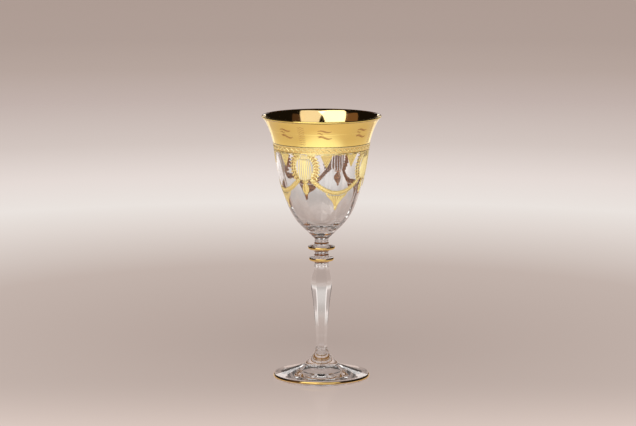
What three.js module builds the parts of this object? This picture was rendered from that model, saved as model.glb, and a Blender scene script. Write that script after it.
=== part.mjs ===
// Gilded red wine glass: a flared optic bowl on a button, two beaded collars, a six-sided
// baluster stem and a round foot, with gilding on the rim, the wall, the collars and the foot.
// Millimetres, +Z up, origin at the centre of the plane that the foot stands on.
// Angles round the axis start at the front (-Y) and grow towards +X.
import * as THREE from 'three';

// Heights of the glass pieces, stacked from the foot up
const FOOT_HEIGHT = 18.5;
const STEM_HEIGHT = 66;
const LOWER_COLLAR_HEIGHT = 5.9;
const LOWER_BEAD_HEIGHT = 2.2;
const UPPER_COLLAR_HEIGHT = 6.3;
const UPPER_BEAD_HEIGHT = 2.4;
const BUTTON_HEIGHT = 5.7;
const BOWL_HEIGHT = 87.7;

// Foot
const FOOT_RADIUS = 35.6;
const FOOT_EDGE_THICKNESS = 3.5;
const FOOT_CONE_RADIUS = 13;
const FOOT_CONE_BASE_HEIGHT = 9.9;
const FOOT_SLOPE_SAG = 1.3;
const FOOT_RECESS_RADIUS = 28.5;
const FOOT_RECESS_HEIGHT = 0.8;
const FOOT_DOME_RADIUS = 14;
const FOOT_DOME_HEIGHT = 5;
const FOOT_DOME_SHOULDER = 8.4;

// Stem, measured to the corners of its six sides
const STEM_SIDES = 6;
const STEM_BASE_RADIUS = 5.2;
const STEM_BASE_HEIGHT = 1.1;
const STEM_WAIST_RADIUS = 3.9;
const STEM_WAIST_HEIGHT = 8.5;
const STEM_SHOULDER_RADIUS = 8.1;
const STEM_SHOULDER_HEIGHT = 53;
const STEM_TOP_RADIUS = 5.4;
const STEM_ROUNDING_LENGTH = 3;
const STEM_SHAFT_EASE = 0.3;
const STEM_SHOULDER_TAPER = 1.1;
const STEM_CAP_EASE = 0.6;
const STEM_CAP_SWELL = 0.5;
const STEM_BASE_EASE = 1;

// Collars, beads and button
const COLLAR_EDGE_THICKNESS = 2.4;
const COLLAR_NECK_RADIUS = 5;
const COLLAR_CROWN_RADIUS = 5.7;
const COLLAR_CROWN_RISE = 0.6;
const LOWER_COLLAR_RADIUS = 9.2;
const UPPER_COLLAR_RADIUS = 10;
const BEAD_RADIUS = 5.5;
const BEAD_NECK_RADIUS = 4.8;
const BUTTON_RADIUS = 7.4;
const BUTTON_NECK_RADIUS = 5.2;
const BUTTON_EDGE_HEIGHT = 1.2;
const BUTTON_RING_HEIGHT = 1.8;

// Bowl: the outside runs from the seat to a waist, then flares out to the rim
const BOWL_SEAT_RADIUS = 8.5;
const BOWL_SEAT_ANGLE = 47.5;
const BOWL_WAIST_HEIGHT = 65;
const BOWL_WAIST_LEAN = 7.5;
const RIM_RADIUS = 43.8;
const RIM_OVERHANG = 8.85;
const RIM_FLARE_ANGLE = 32;
const BOWL_WALL = 1.6;
const LIP_WALL = 1.3;
const BOWL_BOTTOM = 4.6;
const SEAT_REACH = 10.5;
const BELLY_REACH = 54;
const WAIST_REACH = 9;
const RIM_REACH = 3;
const INSIDE_BOTTOM_REACH = 14.5;
const INSIDE_BELLY_REACH = 48;
const OPTIC_FLUTES = 12;
const OPTIC_DEPTH = 0.15;

// Gilding
const GILDING = 0.2;
const GILDING_CLEARANCE = 0.1;
const GILDING_BREAK = 0.3;
const RELIEF = 0.4;
const RELIEF_GROOVE = 0.15;
const BAND_HEIGHT = 17.7;
const LINING_HEIGHT = 20;
const BORDER_HEIGHT = 5.2;
const BAYS = 4;
const BAY_ANGLE = 22.8;
const SWAG_HALF_ANGLE = 30;
const SWAG_DROP = 28.7;
const SWAG_WIDTH = 4.2;
const SWAG_BEADS = 11;
const SWAG_SQUARENESS = 4;
const SWAG_END_TURN = 1;
const PENDANT_HALF_ANGLE = 20;
const PENDANT_TIP_HALF_ANGLE = 3;
const PENDANT_TIP_RISE = 2;
const PENDANT_DROP = 12.6;
const PENDANT_STROKES = 4;
const TASSEL_HALF_ANGLE = 7.5;
const TASSEL_SKIRT = 20.7;
const TASSEL_DROP = 10.4;
const TASSEL_DROP_HALF_ANGLE = 4.5;
const TASSEL_TIP_SHARE = 0.08;
const TASSEL_STROKES = 4;
const LATTICE_ANGLE = 16.8;
const LATTICE_HALF_ANGLE = 7.5;
const LATTICE_TIP_HALF_ANGLE = 0.5;
const LATTICE_DROP = 9.7;
const LIP_GILDING_ANGLE = 80;
const COLLAR_GILDING_FROM = -70;
const COLLAR_GILDING_TO = 45;
const FOOT_GILDING_FROM = -5;
const FOOT_GILDING_TO = 60;

// Facets round the axis, and steps along the curves of a profile
const BOWL_SEGMENTS = 48;
const KNOP_SEGMENTS = 24;
const STEM_SEGMENTS = 24;
const BELLY_STEPS = 7;
const FLARE_STEPS = 5;
const EDGE_STEPS = 4;
const DOME_STEPS = 3;
const FILM_STEPS = 3;
const SHAFT_STEPS = 7;
const PLATE_STEPS = 4;
const LATTICE_STEPS = 3;

const radians = THREE.MathUtils.degToRad;
const point = (radius, height) => new THREE.Vector2(radius, height);

const crystal = new THREE.MeshStandardMaterial({
  color: 0xdadddc, roughness: 0.03, metalness: 0, transparent: true, opacity: 0.45,
});
const gold = new THREE.MeshStandardMaterial({ color: 0xd8a545, roughness: 0.22, metalness: 1 });

const glass = new THREE.Group();

function addPiece(name, geometry, material) {
  const piece = new THREE.Mesh(geometry, material);
  piece.name = name;
  glass.add(piece);
}

// A profile in radius and height turned round the Z axis; shape() may move each turned point
function turned(profile, segments, shape) {
  const geometry = new THREE.LatheGeometry(profile, segments);
  geometry.rotateX(Math.PI / 2);
  if (shape) {
    const position = geometry.attributes.position;
    const at = new THREE.Vector3();
    for (let i = 0; i < position.count; i += 1) {
      shape(at.fromBufferAttribute(position, i), i % profile.length);
      position.setXYZ(i, at.x, at.y, at.z);
    }
  }
  return geometry;
}

function closedProfile(outside, inside) {
  return [...outside, ...inside, outside[0].clone()];
}

function arcPoints(centre, radius, fromDegrees, toDegrees, steps) {
  const from = radians(fromDegrees);
  const to = radians(toDegrees);
  const arc = new THREE.EllipseCurve(centre.x, centre.y, radius, radius, from, to, to < from);
  return arc.getPoints(steps);
}

// A thin band of gilding round a rounded edge, between two angles of its section
function edgeGilding(centre, edgeRadius, from, to, segments) {
  const near = edgeRadius + GILDING_CLEARANCE;
  const outside = arcPoints(centre, near + GILDING, from, to, FILM_STEPS);
  const inside = arcPoints(centre, near, to, from, FILM_STEPS);
  return turned(closedProfile(outside, inside), segments);
}

// Foot: a dome under the stem in a shallow hollow, a flat standing ring, a rounded edge,
// a sagging slope and a small cone that takes the stem
const footEdge = point(FOOT_RADIUS - FOOT_EDGE_THICKNESS / 2, FOOT_EDGE_THICKNESS / 2);
const footTop = FOOT_HEIGHT;

function makeFoot() {
  const dome = new THREE.QuadraticBezierCurve(
    point(0, FOOT_DOME_HEIGHT),
    point(FOOT_DOME_SHOULDER, FOOT_DOME_HEIGHT),
    point(FOOT_DOME_RADIUS, FOOT_RECESS_HEIGHT),
  );
  const slopeStart = point(footEdge.x, FOOT_EDGE_THICKNESS);
  const slopeEnd = point(FOOT_CONE_RADIUS, FOOT_CONE_BASE_HEIGHT);
  const slopeMiddle = slopeStart.clone().lerp(slopeEnd, 0.5);
  slopeMiddle.y -= FOOT_SLOPE_SAG;
  const slope = new THREE.QuadraticBezierCurve(slopeStart, slopeMiddle, slopeEnd);
  const profile = [
    ...dome.getPoints(DOME_STEPS),
    point(FOOT_RECESS_RADIUS, 0),
    ...arcPoints(footEdge, FOOT_EDGE_THICKNESS / 2, -90, 90, EDGE_STEPS),
    ...slope.getPoints(EDGE_STEPS).slice(1),
    point(STEM_BASE_RADIUS, footTop),
    point(0, footTop),
  ];
  addPiece('foot', turned(profile, BOWL_SEGMENTS), crystal);
  const edge = edgeGilding(
    footEdge, FOOT_EDGE_THICKNESS / 2, FOOT_GILDING_FROM, FOOT_GILDING_TO, BOWL_SEGMENTS,
  );
  addPiece('foot_edge_gilding', edge, gold);
}

// Stem: six flat sides that swell to a shoulder, rounded where they meet the foot and collar
const stemTop = footTop + STEM_HEIGHT;

function makeStem() {
  const waist = point(STEM_WAIST_RADIUS, footTop + STEM_WAIST_HEIGHT);
  const shoulder = point(STEM_SHOULDER_RADIUS, footTop + STEM_SHOULDER_HEIGHT);
  const base = point(STEM_BASE_RADIUS, footTop + STEM_BASE_HEIGHT);
  const rise = shoulder.y - waist.y;
  const ease = rise * STEM_SHAFT_EASE;
  const flare = new THREE.QuadraticBezierCurve(base, point(waist.x, base.y + STEM_BASE_EASE), waist);
  const shaft = new THREE.CubicBezierCurve(
    waist,
    point(waist.x, waist.y + ease),
    point(shoulder.x - STEM_SHOULDER_TAPER, shoulder.y - ease),
    shoulder,
  );
  const cap = new THREE.QuadraticBezierCurve(
    shoulder,
    point(STEM_TOP_RADIUS + STEM_CAP_SWELL, THREE.MathUtils.lerp(shoulder.y, stemTop, STEM_CAP_EASE)),
    point(STEM_TOP_RADIUS, stemTop),
  );
  const profile = [
    point(0, footTop),
    point(STEM_BASE_RADIUS, footTop),
    ...flare.getPoints(EDGE_STEPS),
    ...shaft.getPoints(SHAFT_STEPS).slice(1),
    ...cap.getPoints(EDGE_STEPS).slice(1),
    point(0, stemTop),
  ];
  const sideAngle = (2 * Math.PI) / STEM_SIDES;
  const flatten = (at) => {
    const angle = Math.atan2(at.x, -at.y);
    const fromMiddle = angle - sideAngle * Math.round(angle / sideAngle);
    const flatSide = Math.cos(sideAngle / 2) / Math.cos(fromMiddle);
    const fromEnds = Math.min(at.z - base.y, stemTop - at.z) / STEM_ROUNDING_LENGTH;
    const share = THREE.MathUtils.smoothstep(fromEnds, 0, 1);
    const scale = 1 + share * (flatSide - 1);
    at.x *= scale;
    at.y *= scale;
  };
  addPiece('stem', turned(profile, STEM_SEGMENTS, flatten), crystal);
}

// Collar: a disc with a rounded edge, dished below and coned above, gilded round its edge
function makeCollar(name, bottom, height, radius) {
  const half = COLLAR_EDGE_THICKNESS / 2;
  const top = bottom + height;
  const edge = point(radius - half, top - COLLAR_CROWN_RISE - half);
  const dish = new THREE.QuadraticBezierCurve(
    point(COLLAR_NECK_RADIUS, bottom),
    point(COLLAR_NECK_RADIUS, edge.y - half),
    point(edge.x, edge.y - half),
  );
  const profile = [
    point(0, bottom),
    ...dish.getPoints(EDGE_STEPS),
    ...arcPoints(edge, half, -90, 90, EDGE_STEPS).slice(1),
    point(COLLAR_CROWN_RADIUS, top),
    point(0, top),
  ];
  addPiece(name, turned(profile, KNOP_SEGMENTS), crystal);
  const gilding = edgeGilding(edge, half, COLLAR_GILDING_FROM, COLLAR_GILDING_TO, KNOP_SEGMENTS);
  addPiece(`${name}_gilding`, gilding, gold);
}

function makeBead(name, bottom, height) {
  const bulge = new THREE.QuadraticBezierCurve(
    point(BEAD_NECK_RADIUS, bottom),
    point(2 * BEAD_RADIUS - BEAD_NECK_RADIUS, bottom + height / 2),
    point(BEAD_NECK_RADIUS, bottom + height),
  );
  const profile = [point(0, bottom), ...bulge.getPoints(EDGE_STEPS), point(0, bottom + height)];
  addPiece(name, turned(profile, KNOP_SEGMENTS), crystal);
}

// Button: a ring at the bottom and a flaring cup under the bowl
function makeButton(bottom) {
  const top = bottom + BUTTON_HEIGHT;
  const ringTop = bottom + BUTTON_RING_HEIGHT;
  const ring = new THREE.QuadraticBezierCurve(
    point(BEAD_NECK_RADIUS, bottom),
    point(2 * BUTTON_NECK_RADIUS - BEAD_NECK_RADIUS, (bottom + ringTop) / 2),
    point(BEAD_NECK_RADIUS, ringTop),
  );
  const cup = new THREE.QuadraticBezierCurve(
    point(BEAD_NECK_RADIUS, ringTop),
    point(BUTTON_NECK_RADIUS, (ringTop + top - BUTTON_EDGE_HEIGHT) / 2),
    point(BUTTON_RADIUS, top - BUTTON_EDGE_HEIGHT),
  );
  const profile = [
    point(0, bottom),
    ...ring.getPoints(EDGE_STEPS),
    ...cup.getPoints(EDGE_STEPS).slice(1),
    point(BUTTON_RADIUS, top),
    point(0, top),
  ];
  addPiece('bowl_button', turned(profile, KNOP_SEGMENTS), crystal);
}

const lowerCollarTop = stemTop + LOWER_COLLAR_HEIGHT;
const lowerBeadTop = lowerCollarTop + LOWER_BEAD_HEIGHT;
const upperCollarTop = lowerBeadTop + UPPER_COLLAR_HEIGHT;
const upperBeadTop = upperCollarTop + UPPER_BEAD_HEIGHT;
const bowlSeat = upperBeadTop + BUTTON_HEIGHT;
const bowlTop = bowlSeat + BOWL_HEIGHT;

// Bowl walls as curves in radius and height
const seatDirection = point(Math.cos(radians(BOWL_SEAT_ANGLE)), Math.sin(radians(BOWL_SEAT_ANGLE)));
const waistDirection = point(Math.sin(radians(BOWL_WAIST_LEAN)), Math.cos(radians(BOWL_WAIST_LEAN)));
const rimDirection = point(Math.cos(radians(RIM_FLARE_ANGLE)), Math.sin(radians(RIM_FLARE_ANGLE)));
const rimNormal = point(rimDirection.y, -rimDirection.x);
const lipCentre = point(RIM_RADIUS - LIP_WALL / 2, bowlTop - LIP_WALL / 2);
const outerSeat = point(BOWL_SEAT_RADIUS, bowlSeat);
const outerWaist = point(RIM_RADIUS - RIM_OVERHANG, bowlSeat + BOWL_WAIST_HEIGHT);
const outerRim = lipCentre.clone().addScaledVector(rimNormal, LIP_WALL / 2);
const innerRim = lipCentre.clone().addScaledVector(rimNormal, -LIP_WALL / 2);
const innerWaist = outerWaist.clone().sub(point(BOWL_WALL, 0));
const innerBottom = point(0, bowlSeat + BOWL_BOTTOM);

const along = (from, direction, length) => from.clone().addScaledVector(direction, length);
const outerBelly = new THREE.CubicBezierCurve(
  outerSeat, along(outerSeat, seatDirection, SEAT_REACH),
  along(outerWaist, waistDirection, -BELLY_REACH), outerWaist,
);
const outerFlare = new THREE.CubicBezierCurve(
  outerWaist, along(outerWaist, waistDirection, WAIST_REACH),
  along(outerRim, rimDirection, -RIM_REACH), outerRim,
);
const innerBelly = new THREE.CubicBezierCurve(
  innerBottom, along(innerBottom, point(1, 0), INSIDE_BOTTOM_REACH),
  along(innerWaist, waistDirection, -INSIDE_BELLY_REACH), innerWaist,
);
const innerFlare = new THREE.CubicBezierCurve(
  innerWaist, along(innerWaist, waistDirection, WAIST_REACH),
  along(innerRim, rimDirection, -RIM_REACH), innerRim,
);

// Each wall's points from the bottom up, shared by the bowl and the gilding that lies on it
const wallPoints = (belly, flare) => [
  ...belly.getPoints(BELLY_STEPS),
  ...flare.getPoints(FLARE_STEPS).slice(1),
];
const outsideWall = wallPoints(outerBelly, outerFlare);
const insideWall = wallPoints(innerBelly, innerFlare);

function makeBowl() {
  const lip = arcPoints(lipCentre, LIP_WALL / 2, RIM_FLARE_ANGLE - 90, RIM_FLARE_ANGLE + 90, EDGE_STEPS);
  const inside = insideWall.toReversed();
  const profile = [point(0, bowlSeat), ...outsideWall, ...lip.slice(1, -1), ...inside];
  const insideStart = profile.length - inside.length;
  const flute = (at, index) => {
    if (index < insideStart) return;
    const share = (at.z - innerBottom.y) / (innerWaist.y - innerBottom.y);
    if (share <= 0 || share >= 1) return;
    const angle = Math.atan2(at.x, -at.y);
    const radius = Math.hypot(at.x, at.y);
    const depth = OPTIC_DEPTH * Math.sin(Math.PI * share) * Math.cos(OPTIC_FLUTES * angle);
    at.x *= 1 + depth / radius;
    at.y *= 1 + depth / radius;
  };
  addPiece('bowl', turned(profile, BOWL_SEGMENTS, flute), crystal);
}

// The place on a wall curve at a height, with the wall's normal there
function wallAt(curve, height) {
  let low = 0;
  let high = 1;
  for (let i = 0; i < 40; i += 1) {
    const middle = (low + high) / 2;
    if (curve.getPoint(middle).y < height) low = middle;
    else high = middle;
  }
  const tangent = curve.getTangent(low);
  return { at: curve.getPoint(low), normal: point(tangent.y, -tangent.x) };
}

const outsideAt = (height) => wallAt(height < outerWaist.y ? outerBelly : outerFlare, height);
const insideAt = (height) => wallAt(height < innerWaist.y ? innerBelly : innerFlare, height);

// The place at a height on the straight facets between a wall's points
function facetAt(wall, height) {
  const next = wall.findIndex((step) => step.y >= height);
  const last = wall[next - 1];
  return last.clone().lerp(wall[next], (height - last.y) / (wall[next].y - last.y));
}

// A film of gilding on a wall between two heights; side is 1 outside the wall and -1 inside it
function wallGilding(wall, placeAt, side, bottom, top) {
  const lifted = (height, lift) => along(facetAt(wall, height), placeAt(height).normal, side * lift);
  const steps = wall.map((step) => step.y).filter((height) => height > bottom && height < top);
  const heights = [bottom, ...steps, top];
  const back = heights.map((height) => lifted(height, GILDING_CLEARANCE));
  const face = heights.map((height) => lifted(height, GILDING_CLEARANCE + GILDING));
  const profile = side > 0 ? closedProfile(face, back.reverse()) : closedProfile(back, face.reverse());
  return turned(profile, BOWL_SEGMENTS);
}

const bandTop = outerRim.y - GILDING_BREAK;
const bandBottom = bandTop - BAND_HEIGHT;
const borderTop = bandBottom - GILDING_BREAK;
const borderBottom = borderTop - BORDER_HEIGHT;
const liningTop = innerRim.y - GILDING_BREAK;

function makeRimGilding() {
  addPiece('rim_band_gilding', wallGilding(outsideWall, outsideAt, 1, bandBottom, bandTop), gold);
  addPiece('border_gilding', wallGilding(outsideWall, outsideAt, 1, borderBottom, borderTop), gold);
  const lining = wallGilding(insideWall, insideAt, -1, liningTop - LINING_HEIGHT, liningTop);
  addPiece('rim_lining_gilding', lining, gold);
  const lip = edgeGilding(
    lipCentre,
    LIP_WALL / 2,
    RIM_FLARE_ANGLE - LIP_GILDING_ANGLE,
    RIM_FLARE_ANGLE + LIP_GILDING_ANGLE,
    BOWL_SEGMENTS,
  );
  addPiece('lip_gilding', lip, gold);
}

// A plate of raised gilding that follows the outside of the bowl. place() gives the angle and
// height for a share across (-1 to 1) and a share along (0 to 1), relief() the raised height.
function reliefPlate(columns, rows, place, relief) {
  const geometry = new THREE.BoxGeometry(1, 1, 1, columns, rows, 1);
  const position = geometry.attributes.position;
  for (let i = 0; i < position.count; i += 1) {
    const across = position.getX(i) * 2;
    const share = position.getY(i) + 0.5;
    const raised = position.getZ(i) > 0 ? relief(across, share) : 0;
    const { angle, height } = place(across, share);
    const wall = outsideAt(height);
    const at = along(wall.at, wall.normal, GILDING_CLEARANCE + raised);
    position.setXYZ(i, at.x * Math.sin(angle), -at.x * Math.cos(angle), at.y);
  }
  return geometry;
}

const festoonTop = borderBottom - GILDING_BREAK;
const raisedBy = (wave) => THREE.MathUtils.lerp(RELIEF_GROOVE, RELIEF, wave);

// Height of the swag's middle line at a share of its half angle from the bay's middle
function swagHeight(share) {
  const depth = (1 - Math.abs(share) ** SWAG_SQUARENESS) ** (1 / SWAG_SQUARENESS);
  return festoonTop - SWAG_DROP * depth;
}

// Height of the swag's lower edge, which lies half a width square to its middle line
function swagLowerEdge(offsetDegrees) {
  const share = offsetDegrees / SWAG_HALF_ANGLE;
  const step = 0.01;
  const height = swagHeight(share);
  const run = 2 * step * radians(SWAG_HALF_ANGLE) * outsideAt(height).at.x;
  const slope = (swagHeight(share + step) - swagHeight(share - step)) / run;
  return height - (SWAG_WIDTH / 2) * Math.hypot(1, slope);
}

// Swag: a beaded rope that hangs in a deep loop from the border
function makeSwag(name, middle) {
  const half = radians(SWAG_HALF_ANGLE);
  const endTurn = radians(SWAG_END_TURN);
  const lineAt = (turn) => {
    const side = Math.cos(turn);
    const down = Math.sin(turn);
    const size = (Math.abs(side) ** SWAG_SQUARENESS + down ** SWAG_SQUARENESS) ** (1 / SWAG_SQUARENESS);
    return { angle: middle + (half * side) / size, height: festoonTop - (SWAG_DROP * down) / size };
  };
  const place = (across, share) => {
    const turn = THREE.MathUtils.lerp(endTurn, Math.PI - endTurn, share);
    const here = lineAt(turn);
    const before = lineAt(turn - endTurn / 2);
    const after = lineAt(turn + endTurn / 2);
    const radius = outsideAt(here.height).at.x;
    const course = point((after.angle - before.angle) * radius, after.height - before.height);
    course.normalize();
    const offset = (across * SWAG_WIDTH) / 2;
    return {
      angle: here.angle + (offset * course.y) / radius,
      height: Math.min(here.height - offset * course.x, festoonTop),
    };
  };
  const relief = (across, share) => {
    const bead = Math.abs(Math.sin(Math.PI * SWAG_BEADS * share));
    return raisedBy(bead * (1 - across * across));
  };
  addPiece(name, reliefPlate(2, SWAG_BEADS * 2, place, relief), gold);
}

// Pendant: a bell of strokes that hangs below the loop of a swag and runs out to a point
function makePendant(name, middle) {
  const bottom = festoonTop - SWAG_DROP - SWAG_WIDTH / 2 - PENDANT_DROP;
  const place = (across, share) => {
    const spread = PENDANT_HALF_ANGLE - PENDANT_TIP_HALF_ANGLE;
    const offset = across * (PENDANT_TIP_HALF_ANGLE + spread * share ** 3);
    const foot = bottom + Math.abs(across) * PENDANT_TIP_RISE;
    return {
      angle: middle + radians(offset),
      height: THREE.MathUtils.lerp(foot, swagLowerEdge(offset) - GILDING_BREAK, share),
    };
  };
  const columns = PENDANT_STROKES * 2;
  const relief = (across) => raisedBy(Math.cos((Math.PI * columns * across) / 4) ** 2);
  addPiece(name, reliefPlate(columns, PLATE_STEPS, place, relief), gold);
}

// Tassel: a fluted skirt between two swags, with a leaf-shaped drop at its end
function makeTassel(name, middle) {
  const length = TASSEL_SKIRT + TASSEL_DROP;
  const dropShare = TASSEL_DROP / length;
  const place = (across, share) => {
    const leaf = Math.sin((Math.PI / 2) * Math.min(share / dropShare + TASSEL_TIP_SHARE, 1));
    const skirt = Math.sqrt(Math.max(share - dropShare, 0) / (1 - dropShare));
    const half = THREE.MathUtils.lerp(TASSEL_DROP_HALF_ANGLE * leaf, TASSEL_HALF_ANGLE, skirt);
    return { angle: middle + radians(across * half), height: festoonTop - length * (1 - share) };
  };
  const columns = TASSEL_STROKES * 2;
  const relief = (across) => raisedBy(Math.cos((Math.PI * columns * across) / 4) ** 2);
  addPiece(name, reliefPlate(columns, PLATE_STEPS, place, relief), gold);
}

// Lattice fan: a small three-cornered net that hangs from the border inside a swag
function makeLatticeFan(name, middle) {
  const place = (across, share) => {
    const half = THREE.MathUtils.lerp(LATTICE_TIP_HALF_ANGLE, LATTICE_HALF_ANGLE, share);
    return { angle: middle + radians(across * half), height: festoonTop - LATTICE_DROP * (1 - share) };
  };
  addPiece(name, reliefPlate(LATTICE_STEPS, LATTICE_STEPS, place, () => RELIEF_GROOVE), gold);
}

function makeFestoons() {
  const bayPitch = (2 * Math.PI) / BAYS;
  for (let bay = 0; bay < BAYS; bay += 1) {
    const middle = radians(BAY_ANGLE) + bay * bayPitch;
    makeSwag(`swag_gilding_${bay + 1}`, middle);
    makePendant(`pendant_gilding_${bay + 1}`, middle);
    makeTassel(`tassel_gilding_${bay + 1}`, middle - bayPitch / 2);
    makeLatticeFan(`lattice_gilding_${bay + 1}_left`, middle - radians(LATTICE_ANGLE));
    makeLatticeFan(`lattice_gilding_${bay + 1}_right`, middle + radians(LATTICE_ANGLE));
  }
}

makeFoot();
makeStem();
makeCollar('lower_collar', stemTop, LOWER_COLLAR_HEIGHT, LOWER_COLLAR_RADIUS);
makeBead('lower_bead', lowerCollarTop, LOWER_BEAD_HEIGHT);
makeCollar('upper_collar', lowerBeadTop, UPPER_COLLAR_HEIGHT, UPPER_COLLAR_RADIUS);
makeBead('upper_bead', upperCollarTop, UPPER_BEAD_HEIGHT);
makeButton(upperBeadTop);
makeBowl();
makeRimGilding();
makeFestoons();

export default glass;
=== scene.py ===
"""Looks of a gilded red wine glass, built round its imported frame.

Shapes are worked out in millimetres: profiles of (radius, height) turned round the axis, and strokes laid
on the bowl's wall at (angle, height). Angles round the axis are in radians, start at the front (-Y) and
grow towards +X.
"""
import math

import bpy
import numpy as np
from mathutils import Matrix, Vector


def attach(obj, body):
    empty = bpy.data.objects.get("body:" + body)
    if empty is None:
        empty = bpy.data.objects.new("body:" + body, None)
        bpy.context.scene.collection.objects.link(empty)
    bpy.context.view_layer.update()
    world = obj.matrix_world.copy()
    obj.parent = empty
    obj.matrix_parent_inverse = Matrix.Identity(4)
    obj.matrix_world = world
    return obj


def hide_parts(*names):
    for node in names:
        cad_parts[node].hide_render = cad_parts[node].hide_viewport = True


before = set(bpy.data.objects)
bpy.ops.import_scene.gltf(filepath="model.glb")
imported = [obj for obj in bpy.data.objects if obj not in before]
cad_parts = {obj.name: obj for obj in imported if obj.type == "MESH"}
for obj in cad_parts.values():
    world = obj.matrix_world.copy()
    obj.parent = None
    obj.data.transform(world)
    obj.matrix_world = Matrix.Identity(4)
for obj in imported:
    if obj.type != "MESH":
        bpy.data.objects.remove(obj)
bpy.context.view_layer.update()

MM = 0.001
BOTH = np.array((-1, 1))

# Heights of the joints where the gathers of glass are fused
FOOT_TOP = 18.5
STEM_TOP = 84.5
LOWER_COLLAR_TOP = 90.4
LOWER_BEAD_TOP = 92.6
UPPER_COLLAR_TOP = 98.9
UPPER_BEAD_TOP = 101.3
BOWL_SEAT = 107.0
BOWL_TOP = 194.7

# Foot
FOOT_RADIUS = 35.6
FOOT_EDGE = 3.5
FOOT_EDGE_CENTRE = np.array((FOOT_RADIUS - FOOT_EDGE / 2, FOOT_EDGE / 2))
FOOT_CONE_RADIUS = 13.0
FOOT_CONE_BASE = 9.9
FOOT_SLOPE_SAG = 1.3
FOOT_RECESS_RADIUS = 28.5
FOOT_RECESS_HEIGHT = 0.8
FOOT_DOME_RADIUS = 14.0
FOOT_DOME_HEIGHT = 5.0
FOOT_DOME_SHOULDER = 8.4

# Stem, measured to the corners of its six sides
STEM_BASE_RADIUS = 5.2
STEM_BASE = FOOT_TOP + 1.1
STEM_BASE_REACH = 1
STEM_WAIST_RADIUS = 3.9
STEM_WAIST = FOOT_TOP + 8.5
STEM_EASE = 0.3
STEM_SHOULDER_RADIUS = 8.1
STEM_SHOULDER = FOOT_TOP + 53
STEM_SHOULDER_LEAN = 1.1
STEM_CAP_SHARE = 0.6
STEM_CAP_SWELL = 0.5
STEM_TOP_RADIUS = 5.4
STEM_ROUNDING = 3.0
STEM_CORNER_POWER = 30
STEM_POLISH = 2.2

# Collars, beads and button
COLLAR_EDGE = 2.4
COLLAR_NECK_RADIUS = 5.0
COLLAR_CROWN_RADIUS = 5.7
COLLAR_CROWN_RISE = 0.6
LOWER_COLLAR_RADIUS = 9.2
UPPER_COLLAR_RADIUS = 10.0
BEAD_RADIUS = 5.5
BEAD_NECK_RADIUS = 4.8
BUTTON_RADIUS = 7.4
BUTTON_NECK_RADIUS = 5.2
BUTTON_EDGE = 1.2
BUTTON_RING = 1.8

# Bowl; its angles are in degrees, and a reach is the length of a curve's handle
BOWL_SEAT_RADIUS = 8.5
BOWL_SEAT_ANGLE = 47.5
BOWL_SEAT_REACH = 10.5
BOWL_WAIST_RADIUS = 34.95
BOWL_WAIST = BOWL_SEAT + 65
BOWL_WAIST_LEAN = 7.5
OUTER_BELLY_REACH = 54
INNER_BELLY_REACH = 48
INSIDE_BOTTOM_REACH = 14.5
FLARE_REACH = 9
RIM_RADIUS = 43.8
RIM_FLARE = 32.0
RIM_REACH = 3
BOWL_WALL = 1.6
LIP_WALL = 1.3
LIP_CENTRE = np.array((RIM_RADIUS, BOWL_TOP)) - LIP_WALL / 2
BOWL_BOTTOM = BOWL_SEAT + 4.6
OPTIC_FLUTES = 12
OPTIC_DEPTH = 0.15

# Gilding: how far it stands out of the glass and sinks into it, and its material slots; relief is paler as
# painted highlight, ground and backs darker as painted shade, and the matt etched finish darker as painted
# shade too
FILM = 0.05
SINK = 0.03
BORDER_RISE = 0.04
GROUND_RISE = 0.06
ETCHED_RISE = 0.05
BAND_ETCH_RISE = FILM + 0.03
BRIGHT, SHADED_BACK_AND_COPPER, LIT_RELIEF, SHADED_GROUND, ETCHED_AND_SHADED, LINING, EDGE = range(7)

# Gilding of the edges and the rim: angles in degrees round the edges, and heights on the bowl
FOOT_GILDING = (-5, 60)
COLLAR_GILDING = (-70, 45)
LIP_GILDING = 80
LINING_TOP, LINING_BOTTOM = 194.3, 174.3
BAND_TOP, BAND_LINE, BAND_BOTTOM = 193.2, 184.9, 175.5
BAND_LINE_WIDTH = 0.2
BAND_LINE_DEPTH = 0.9
BORDER_TOP, BORDER_BOTTOM = 175.2, 170.0
LACE_REPEATS = 48
COMB_ROWS = 9
COMB_RISES = (-7.6, 5.0)
COMB_HALF_ANGLE = math.radians(4.2)
COMB_WAVE = 0.45
COMB_WIDTH = 0.26

# Leaves of the band: degrees aside, rise above its line, half length in degrees, wave and half width
BAND_LEAVES = (
    (0, 2.4, 8, -0.6, 0.9),
    (-4.4, 0.9, 3.6, -0.3, 0.5),
    (-4.2, -1.1, 3.8, 0.35, 0.5),
    (1, -2.5, 8, -0.7, 0.9),
)
BAND_LEAF_START = 3
BAND_LEAF_PITCH = 45

# Festoons
FESTOON_TOP = 169.7
BAYS = 4
BAY_ANGLE = math.radians(22.8)
SWAG_HALF_ANGLE = math.radians(35.5)
SWAG_TOP, SWAG_BOTTOM = 150.8, 141.2
SWAG_WIDTH = 3.6
ROPE_PITCH = 1.9
KNOT = 1.5
PENDANT_BOTTOM = SWAG_BOTTOM - SWAG_WIDTH / 2 - 11.3
WREATH_START, WREATH_BULGE, WREATH_END = np.radians((5.0, 18.0, 9.5))
LEAF_PITCH = 2.3
TASSEL_TURNS = BAY_ANGLE + (np.arange(BAYS) - 0.5) * 2 * math.pi / BAYS
TASSEL_SKIRT = 20.7
TASSEL_DROP = 10.4
LATTICE_ANGLE = math.radians(16.8)
LATTICE_HALF_ANGLE = math.radians(7.2)
LATTICE_GROUND_ANGLE = math.radians(7.0)
LATTICE_DROP = 9.7

# Fineness of the shapes
FINE_STEP = 0.04
FIRE_POLISH = 0.16
ROUND_STEPS = 192
LINE_STEPS = 801
ON_AXIS = 1e-6
SHARP_ANGLE = math.radians(50)


# Profiles

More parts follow.
